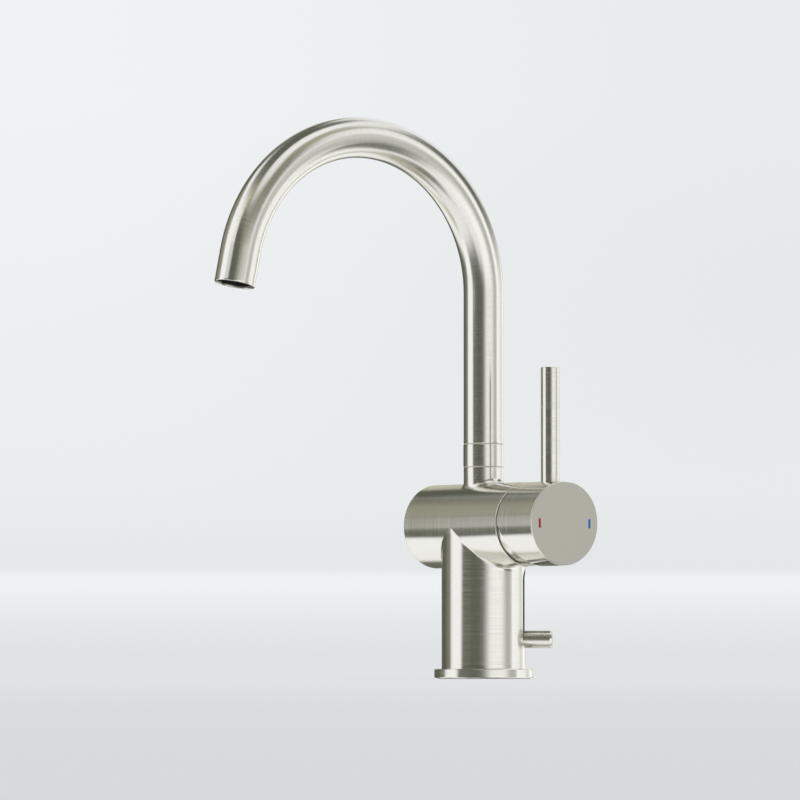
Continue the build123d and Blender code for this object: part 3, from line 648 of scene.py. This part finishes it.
# %% A helper that grows a piece
def grow(name, tree, sizes, body, replaced, finishers=()):
    """Runs a tree with its sizes, keeps the result as a plain mesh and puts it on a body."""
    piece = bpy.data.objects.new(name, bpy.data.meshes.new(name))
    bpy.context.scene.collection.objects.link(piece)
    grower = piece.modifiers.new("grow", "NODES")
    grower.node_group = tree
    for socket in tree.interface.items_tree:
        if socket.in_out == "INPUT":
            grower[socket.identifier] = sizes[socket.name]
    for kind, settings in finishers:
        modifier = piece.modifiers.new(kind.lower(), kind)
        for setting, value in settings.items():
            setattr(modifier, setting, value)
    depsgraph = bpy.context.evaluated_depsgraph_get()
    evaluated = piece.evaluated_get(depsgraph)
    made = bpy.data.meshes.new_from_object(evaluated, preserve_all_data_layers=True, depsgraph=depsgraph)
    piece.modifiers.clear()
    piece.data = made
    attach(piece, body)
    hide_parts(replaced)
    print(name, "has", len(made.polygons), "faces")


# %% [markdown]
# ## The spout
# The real spout is a straight tube that a machine has bent. It is made here in the same way, with
# Geometry Nodes: a cylinder with many rings is bent by a rule, which leaves the riser straight, turns the
# arc and runs on straight to the mouth. The tree also stores where each point lay on the straight tube
# and which way the tube runs there, so that brush lines and stretched highlights follow the bend.

# %% Read the spout's sizes from the frame
tube_low, tube_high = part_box("spout_tube")
tube_radius = (tube_high.x - tube_low.x) / 2
outlet = next(mount for mount in frame["record"]["mounts"] if mount["name"] == "water_outlet")
mouth = Vector(outlet["pos_m"])
mouth_way = Vector(outlet["axis"])
bend_angle = math.atan2(-mouth_way.y, mouth_way.z)
bend_sine, bend_cosine = math.sin(bend_angle), math.cos(bend_angle)
mouth_drop = mouth.z - (tube_high.z - tube_radius)
bend_radius = (mouth_drop * bend_sine + mouth.y * bend_cosine) / (1 - bend_sine - bend_cosine)
riser_top = tube_high.z - tube_radius - bend_radius
spout_end = (-mouth.y - bend_radius * (1 - bend_cosine)) / bend_sine
print("bend radius in mm:", bend_radius / MM, "angle:", math.degrees(bend_angle), "end:", spout_end / MM)

# %% The rule that bends the tube
spout_sizes = {
    "Foot": tube_low.z,
    "Tube radius": tube_radius,
    "Riser": riser_top - tube_low.z,
    "Bend radius": bend_radius,
    "Bend angle": bend_angle,
    "End": spout_end,
    "Rings": 330,
    "Sides": 80,
}
bender, given = geometry_tree("bent_tube", spout_sizes)
arc = maths(bender, "MULTIPLY", given["Bend radius"], given["Bend angle"])
length = maths(bender, "ADD", maths(bender, "ADD", given["Riser"], arc), given["End"])
straight = add(
    bender,
    "GeometryNodeMeshCylinder",
    {
        "Vertices": given["Sides"],
        "Side Segments": given["Rings"],
        "Radius": given["Tube radius"],
        "Depth": length,
    },
    fill_type="NONE",
)
point = add(bender, "ShaderNodeSeparateXYZ", {0: add(bender, "GeometryNodeInputPosition")}).outputs
along = maths(bender, "MULTIPLY_ADD", length, 0.5, point["Z"])
risen = maths(bender, "MINIMUM", along, given["Riser"])
past_riser = maths(bender, "SUBTRACT", along, risen)
on_arc = maths(bender, "MINIMUM", past_riser, arc)
past_arc = maths(bender, "SUBTRACT", past_riser, on_arc)
turned = maths(bender, "DIVIDE", on_arc, given["Bend radius"])
sine, cosine = maths(bender, "SINE", turned), maths(bender, "COSINE", turned)
reach = maths(bender, "ADD", given["Bend radius"], point["Y"])
forward = maths(bender, "MULTIPLY_ADD", reach, cosine, maths(bender, "MULTIPLY", given["Bend radius"], -1))
forward = maths(bender, "SUBTRACT", forward, maths(bender, "MULTIPLY", past_arc, sine))
upward = maths(bender, "MULTIPLY_ADD", reach, sine, maths(bender, "ADD", given["Foot"], risen))
upward = maths(bender, "MULTIPLY_ADD", past_arc, cosine, upward)
unbent = add(bender, "ShaderNodeCombineXYZ", {0: point["X"], 1: point["Y"], 2: along})
run = add(bender, "ShaderNodeCombineXYZ", {1: maths(bender, "MULTIPLY", sine, -1), 2: cosine})
bent = add(bender, "ShaderNodeCombineXYZ", {0: point["X"], 1: forward, 2: upward})
marked = store(bender, store(bender, straight, "unbent", unbent), "run", run)
tube = add(bender, "GeometryNodeSetPosition", {"Geometry": marked, "Position": bent})
print("nodes that bend the tube:", len(bender.nodes))

# %% [markdown]
# The bent skin gets its wall from Solidify, and Bevel rounds the rims at both ends. Bevel's angle limit
# leaves the long sides alone, because their facets meet at only a few degrees.

# %% Bend the spout tube
TUBE_WALL = 1.0 * MM
RIM_ROUND = 0.3 * MM


def stored(name):
    """Reads a vector that a geometry tree stored under this name."""
    return lambda tree, spot: add(tree, "ShaderNodeAttribute", attribute_name=name).outputs["Vector"]


spout_nickel = brushed("brushed_nickel_spout", stored("run"), stored("unbent"))
close_tree(bender, tube, spout_nickel)
wall = {"thickness": TUBE_WALL, "offset": -1.0, "use_even_offset": True}
rims = {"width": RIM_ROUND, "segments": 3, "limit_method": "ANGLE", "angle_limit": math.radians(60)}
finishers = (("SOLIDIFY", wall), ("BEVEL", rims))
grow("spout", bender, spout_sizes, "spout", "spout_tube", finishers)

# %% [markdown]
# ## The aerator
# Deep in the mouth sit a plastic insert with ribs like a wheel's spokes, which straightens the stream, and
# a woven screen behind it. Ribs and wires repeat, so both are grown: ribs are one small block instanced on
# circles, and the wires are one wavy wire instanced on a row, once in each direction. Both trees end by
# turning the piece with the bend and moving it to the mouth.

# %% Sizes of the aerator
ring_low, ring_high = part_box("aerator_ring")
AERATOR_WALL = 1.3 * MM
FIT = 0.1 * MM
insert_radius = (ring_high.x - ring_low.x) / 2 - AERATOR_WALL - FIT
INSERT_DEPTH = 2.3 * MM
RIB_HEIGHT = 5.0 * MM
RIB_WIDTH = 0.7 * MM
RIB_RING = 4.2 * MM
SCREEN_GAP = 0.4 * MM
print("insert radius in mm:", insert_radius / MM)

# %% Parts shared by both trees
def at_mouth(tree, geometry, angle, depth):
    """Turns a piece with the bend and sets it the given depth inside the mouth."""
    turn = add(tree, "ShaderNodeCombineXYZ", {0: angle})
    spot = mouth - mouth_way * depth
    placed = {"Geometry": geometry, "Translation": tuple(spot), "Rotation": turn}
    return add(tree, "GeometryNodeTransform", placed)


def spokes(tree, count, block, radius):
    """Puts one block on a circle as often as count says, each turned to point outwards."""
    circle = add(tree, "GeometryNodeMeshCircle", {"Vertices": count, "Radius": radius})
    whole_turns = maths(tree, "MULTIPLY", add(tree, "GeometryNodeInputIndex"), math.tau)
    turns = maths(tree, "DIVIDE", whole_turns, count)
    aim = add(tree, "ShaderNodeCombineXYZ", {2: turns})
    return add(tree, "GeometryNodeInstanceOnPoints", {"Points": circle, "Instance": block, "Rotation": aim})


def hoop(tree, radius, width, height, sides=64):
    """A ring of square section: a square swept round a circle."""
    path = add(tree, "GeometryNodeCurvePrimitiveCircle", {"Resolution": sides, "Radius": radius})
    section = add(tree, "GeometryNodeCurvePrimitiveQuadrilateral", {"Width": width, "Height": height})
    return add(tree, "GeometryNodeCurveToMesh", {"Curve": path, "Profile Curve": section})


print("helpers for the aerator:", at_mouth.__name__, spokes.__name__, hoop.__name__)

# %% [markdown]
# The insert is two hoops with ribs between them, twelve outside and six inside, so that the stream is cut
# into even cells. Each set of ribs is one block put on a circle, which keeps their spacing exact.

# %% Grow the insert
EDGE_ROUND = 0.08 * MM
insert_sizes = {
    "Radius": insert_radius,
    "Ring radius": RIB_RING,
    "Rib width": RIB_WIDTH,
    "Rib height": RIB_HEIGHT,
    "Outer ribs": 12,
    "Inner ribs": 6,
    "Bend angle": bend_angle,
}
ribbed, given = geometry_tree("ribbed_insert", insert_sizes)
half_rib = maths(ribbed, "MULTIPLY", given["Rib width"], 0.5)
rim_middle = maths(ribbed, "SUBTRACT", given["Radius"], half_rib)
ring_middle = maths(ribbed, "SUBTRACT", given["Ring radius"], half_rib)
span = maths(ribbed, "SUBTRACT", rim_middle, ring_middle)
outer_size = add(ribbed, "ShaderNodeCombineXYZ", {0: span, 1: given["Rib width"], 2: given["Rib height"]})
inner_size = add(
    ribbed,
    "ShaderNodeCombineXYZ",
    {0: ring_middle, 1: given["Rib width"], 2: given["Rib height"]},
)
outer_block = add(ribbed, "GeometryNodeMeshCube", {"Size": outer_size})
inner_block = add(ribbed, "GeometryNodeMeshCube", {"Size": inner_size})
outer_middle = maths(ribbed, "MULTIPLY_ADD", span, 0.5, ring_middle)
inner_middle = maths(ribbed, "MULTIPLY", ring_middle, 0.5)
pieces = [
    hoop(ribbed, rim_middle, given["Rib width"], given["Rib height"]),
    hoop(ribbed, ring_middle, given["Rib width"], given["Rib height"]),
    spokes(ribbed, given["Outer ribs"], outer_block, outer_middle),
    spokes(ribbed, given["Inner ribs"], inner_block, inner_middle),
]
joined = ribbed.nodes.new("GeometryNodeJoinGeometry")
for piece in pieces:
    ribbed.links.new(piece.outputs[0], joined.inputs[0])
insert_middle = INSERT_DEPTH + RIB_HEIGHT / 2
close_tree(ribbed, at_mouth(ribbed, joined, given["Bend angle"], insert_middle), black_plastic, smooth=False)
soft_edges = {"width": EDGE_ROUND, "segments": 2, "limit_method": "ANGLE", "angle_limit": math.radians(60)}
rib_finish = (("BEVEL", soft_edges),)
grow("aerator_ribs", ribbed, insert_sizes, "spout", "aerator_insert", rib_finish)

# %% [markdown]
# A woven wire runs over one neighbour and under the next, which is a cosine wave with the weave's own
# step. The wires are cut to the round outline while they are still curves, and get their thickness after
# that, so that each cut end is closed.

# %% Sizes of the screen
WIRE = 0.16 * MM
WIRE_STEP = 0.62 * MM
screen_sizes = {
    "Radius": insert_radius,
    "Wire": WIRE,
    "Step": WIRE_STEP,
    "Wires": 2 * int(insert_radius / WIRE_STEP) + 1,
    "Samples": 95,
    "Bend angle": bend_angle,
}
print("wires each way:", screen_sizes["Wires"])

# %% Bend one wire
WIRE_SWING = 0.55
woven, given = geometry_tree("woven_screen", screen_sizes)
start_x = maths(woven, "MULTIPLY", given["Radius"], -1)
sample_gaps = maths(woven, "SUBTRACT", given["Samples"], 1)
sample_step = maths(woven, "DIVIDE", maths(woven, "MULTIPLY", given["Radius"], 2), sample_gaps)
line_start = add(woven, "ShaderNodeCombineXYZ", {0: start_x})
line_step = add(woven, "ShaderNodeCombineXYZ", {0: sample_step})
samples = {"Count": given["Samples"], "Start Location": line_start, "Offset": line_step}
line = add(woven, "GeometryNodeMeshLine", samples)
run_x = add(woven, "ShaderNodeSeparateXYZ", {0: add(woven, "GeometryNodeInputPosition")}).outputs["X"]
phase = maths(woven, "DIVIDE", maths(woven, "MULTIPLY", run_x, math.pi), given["Step"])
swing_height = maths(woven, "MULTIPLY", given["Wire"], WIRE_SWING)
swing = maths(woven, "MULTIPLY", maths(woven, "COSINE", phase), swing_height)
wave = add(woven, "ShaderNodeCombineXYZ", {2: swing})
wavy = add(woven, "GeometryNodeSetPosition", {"Geometry": line, "Offset": wave})
path = add(woven, "GeometryNodeMeshToCurve", {"Mesh": wavy})
half_wire = maths(woven, "MULTIPLY", given["Wire"], 0.5)
section = add(woven, "GeometryNodeCurvePrimitiveCircle", {"Resolution": 5, "Radius": half_wire})
print("nodes that bend a wire:", len(woven.nodes))


# %% Weave the screen
def row_of_wires(tree, first_flipped):
    """Lays wires side by side. Every other wire is turned over, so that it goes under instead of over."""
    gaps = maths(tree, "SUBTRACT", given["Wires"], 1)
    lowest = maths(tree, "MULTIPLY", maths(tree, "MULTIPLY", gaps, given["Step"]), -0.5)
    row_start = add(tree, "ShaderNodeCombineXYZ", {1: lowest})
    row_step = add(tree, "ShaderNodeCombineXYZ", {1: given["Step"]})
    spread = {"Count": given["Wires"], "Start Location": row_start, "Offset": row_step}
    row = add(tree, "GeometryNodeMeshLine", spread)
    number = maths(tree, "ADD", add(tree, "GeometryNodeInputIndex"), first_flipped)
    over = maths(tree, "MULTIPLY", maths(tree, "MODULO", number, 2), math.pi)
    turn = add(tree, "ShaderNodeCombineXYZ", {0: over})
    return add(tree, "GeometryNodeInstanceOnPoints", {"Points": row, "Instance": path, "Rotation": turn})


warp = row_of_wires(woven, 0.0)
across_warp = {"Geometry": row_of_wires(woven, 1.0), "Rotation": (0, 0, math.pi / 2)}
weft = add(woven, "GeometryNodeTransform", across_warp)
cloth = woven.nodes.new("GeometryNodeJoinGeometry")
for layer in (warp, weft):
    woven.links.new(layer.outputs[0], cloth.inputs[0])
cloth = add(woven, "GeometryNodeRealizeInstances", {"Geometry": cloth})
off_centre = vectors(woven, "LENGTH", add(woven, "GeometryNodeInputPosition")).outputs["Value"]
outside = maths(woven, "GREATER_THAN", off_centre, given["Radius"])
trimmed = add(woven, "GeometryNodeDeleteGeometry", {"Geometry": cloth, "Selection": outside}, domain="POINT")
wires = add(woven, "GeometryNodeCurveToMesh", {"Curve": trimmed, "Profile Curve": section, "Fill Caps": True})
screen_middle = INSERT_DEPTH + RIB_HEIGHT + SCREEN_GAP
close_tree(woven, at_mouth(woven, wires, given["Bend angle"], screen_middle), plain_steel)
grow("woven_screen", woven, screen_sizes, "spout", "aerator_screen")
